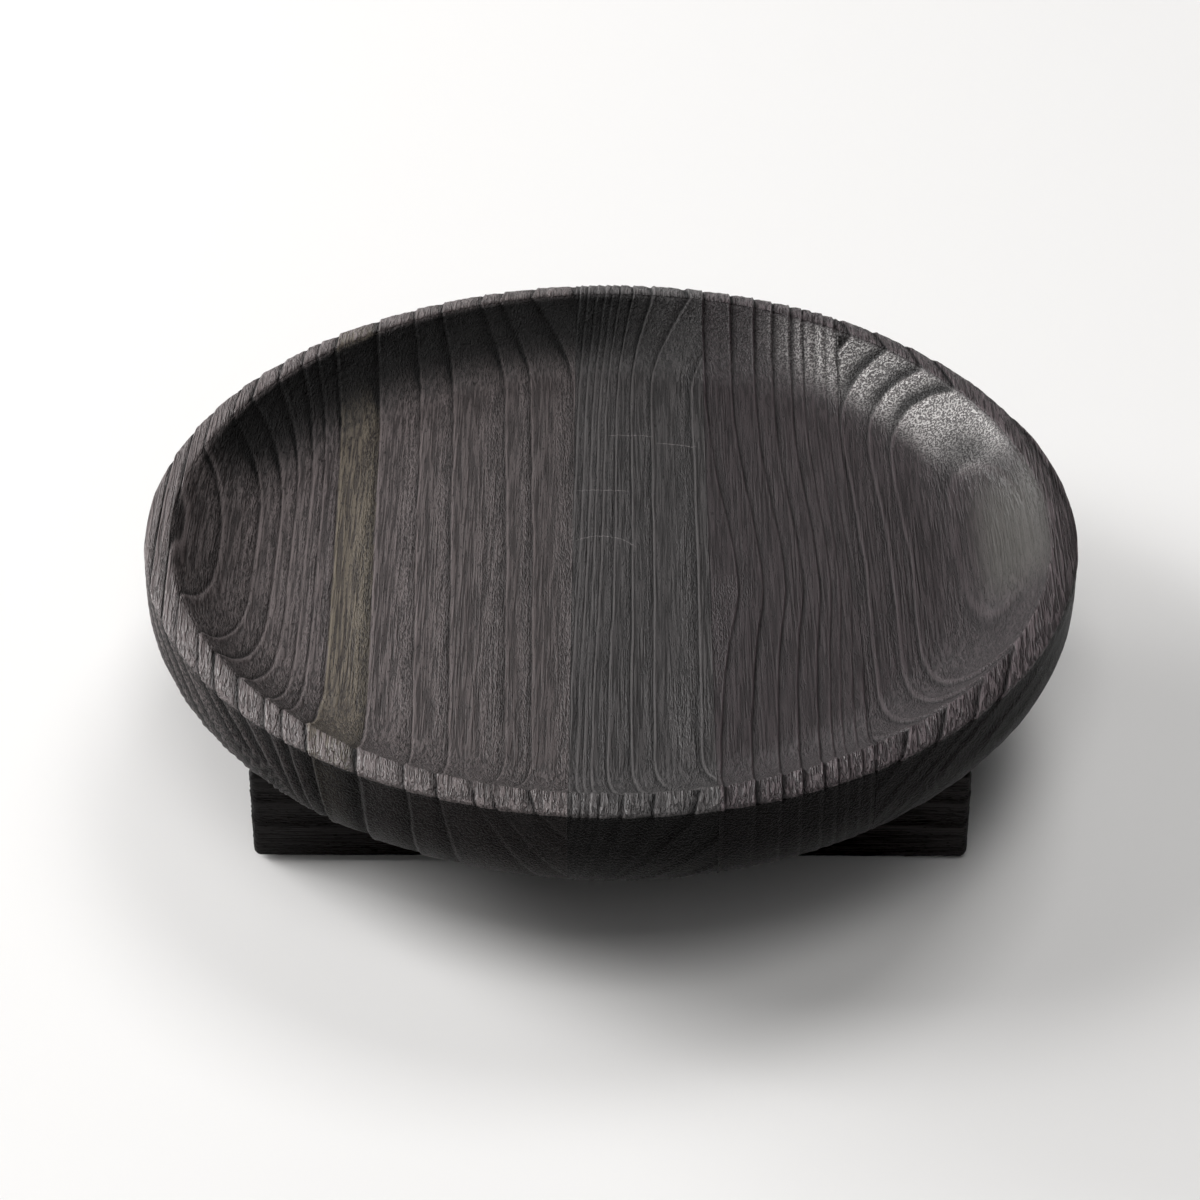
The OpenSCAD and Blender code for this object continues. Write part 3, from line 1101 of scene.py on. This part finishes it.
def make_boards():
    """The four boards, from left to right."""
    # The boards get darker from left to right, and the left board's outside is lighter than the others'.
    # This is partly the boards' own tone and partly painted light from the window at the left. The left
    # board is painted lighter still towards its left side. rim is how light each board's rim teeth are
    # painted, a painted highlight.
    make_board("left_board", -RIM_R, SEAMS[0], LEFT_RINGS, pitch=0.8,
               tint=BROWN, light=0.086, outside_light=0.016, rim=0.140, painted_light_left=0.5)
    make_board("middle_left_board", SEAMS[0], SEAMS[1], MIDDLE_LEFT_RINGS, pitch=0.4,
               tint=NEUTRAL, light=0.063, outside_light=0.006, rim=0.110)
    make_board("middle_right_board", SEAMS[1], SEAMS[2], MIDDLE_RIGHT_RINGS, pitch=0.4,
               tint=PURPLE, light=0.045, outside_light=0.005, rim=0.095)
    make_board("right_board", SEAMS[2], RIM_R, RIGHT_RINGS, pitch=0.6,
               tint=PURPLE, light=0.045, outside_light=0.006, rim=0.100)


def make_runners():
    """The two runner feet, with the stepped holes of their screws."""
    # The runners are painted 40 percent darker towards their left ends: painted shade, which evens out the
    # stronger light of the window there.
    wood = charred_wood("charred_runners", NEUTRAL, 0.030, dark=0.006, grain="X", rough=0.55, shine=0.15,
                        painted_light_left=-0.4)
    plans = (("front_runner", 51, (-30.0, -140.0)), ("rear_runner", 53, (160.0, -60.0)))
    for cad_node, seed, pith in plans:
        rings = RoundRings(seed=seed, edges=spread(0, 400, (7, 9, 6, 8)), outward=1, pith=pith, flare=0.0,
                           depth=0.45, cross_depth=0.3)
        piece = runner_mesh("sawn_" + cad_node, cad_node, rings, wood)
        end = cad_node.split("_")[0]
        cut_away(piece, [screw_hole(screw, 1.0) for screw in SCREWS if screw.startswith(end)])
        hand_over(piece, cad_node)


# -------- stage, light and camera


def make_floor():
    """A plain pale floor, 12 m wide."""
    mesh = bpy.data.meshes.new("floor")
    half = 6.0
    corners = [(-half, -half, 0), (half, -half, 0), (half, half, 0), (-half, half, 0)]
    mesh.from_pydata(corners, [], [(0, 1, 2, 3)])
    material = bpy.data.materials.new("pale_floor")
    material.use_nodes = True
    shader = material.node_tree.nodes["Principled BSDF"]
    shader.inputs["Base Color"].default_value = (0.83, 0.82, 0.81, 1)
    shader.inputs["Roughness"].default_value = 0.9
    shader.inputs["Specular IOR Level"].default_value = 0.0
    mesh.materials.append(material)
    floor = bpy.data.objects.new("floor", mesh)
    bpy.context.scene.collection.objects.link(floor)


def aim(obj, target):
    """Turns a light towards a point."""
    obj.rotation_euler = (Vector(target) - obj.location).to_track_quat("-Z", "Y").to_euler()


def make_light(name, azimuth, elevation, radiance):
    """A soft square of light, 5 m away. azimuth is 0 behind the bowl and grows to the right."""
    distance = 5.0
    side = 2.1
    light = bpy.data.lights.new(name, "AREA")
    light.size = side
    light.energy = radiance * math.pi * side * side
    obj = bpy.data.objects.new(name, light)
    turn, lift = math.radians(azimuth), math.radians(elevation)
    obj.location = (distance * math.cos(lift) * math.sin(turn), distance * math.cos(lift) * math.cos(turn),
                    distance * math.sin(lift))
    bpy.context.scene.collection.objects.link(obj)
    aim(obj, (0, 0, 0.1))


def make_lights():
    """A tall window at the left and a little behind, and weak light from the other sides."""
    make_light("window_low", -60, 15, 15.8)
    make_light("window_high", -85, 40, 9.8)
    make_light("back_low", -10, 15, 1.5)
    make_light("back_high", 30, 65, 5.5)
    make_light("front_high", 180, 65, 5.0)
    make_light("front_low", 180, 40, 1.7)


def make_world():
    """Very weak white light from everywhere."""
    world = bpy.data.worlds.new("studio")
    world.use_nodes = True
    background = world.node_tree.nodes["Background"]
    background.inputs["Color"].default_value = (1.0, 1.0, 1.0, 1)
    background.inputs["Strength"].default_value = 0.02
    bpy.context.scene.world = world


def set_tones():
    """Plain tones, with the darkest ones pulled down to black."""
    view = bpy.context.scene.view_settings
    view.view_transform = "Standard"
    view.use_curve_mapping = True
    view.curve_mapping.black_level = (0.003, 0.003, 0.003)
    view.curve_mapping.update()


# The camera stands in front of the mouth's centre, 34.4 degrees above it, and looks a little
# below and to the left of it.
CAMERA_DISTANCE = 1.823
CAMERA_ELEVATION = math.radians(34.4)
LENS = 111.55
SENSOR = 36.0
LOOK_BELOW = math.radians(1.251)
LOOK_LEFT = math.radians(0.201)


def make_camera():
    """The camera, at a distance measured from the mouth's centre."""
    camera = bpy.data.cameras.new("camera")
    camera.lens = LENS
    camera.sensor_width = SENSOR
    obj = bpy.data.objects.new("camera", camera)
    obj.location = (0, -CAMERA_DISTANCE * math.cos(CAMERA_ELEVATION),
                    MOUTH_Z * MM + CAMERA_DISTANCE * math.sin(CAMERA_ELEVATION))
    obj.rotation_euler = (math.radians(90) - CAMERA_ELEVATION - LOOK_BELOW, 0, LOOK_LEFT)
    bpy.context.scene.collection.objects.link(obj)
    bpy.context.scene.camera = obj


make_camera()
make_lights()
make_world()
set_tones()
make_floor()
make_boards()
make_runners()
make_screws()
make_pads()
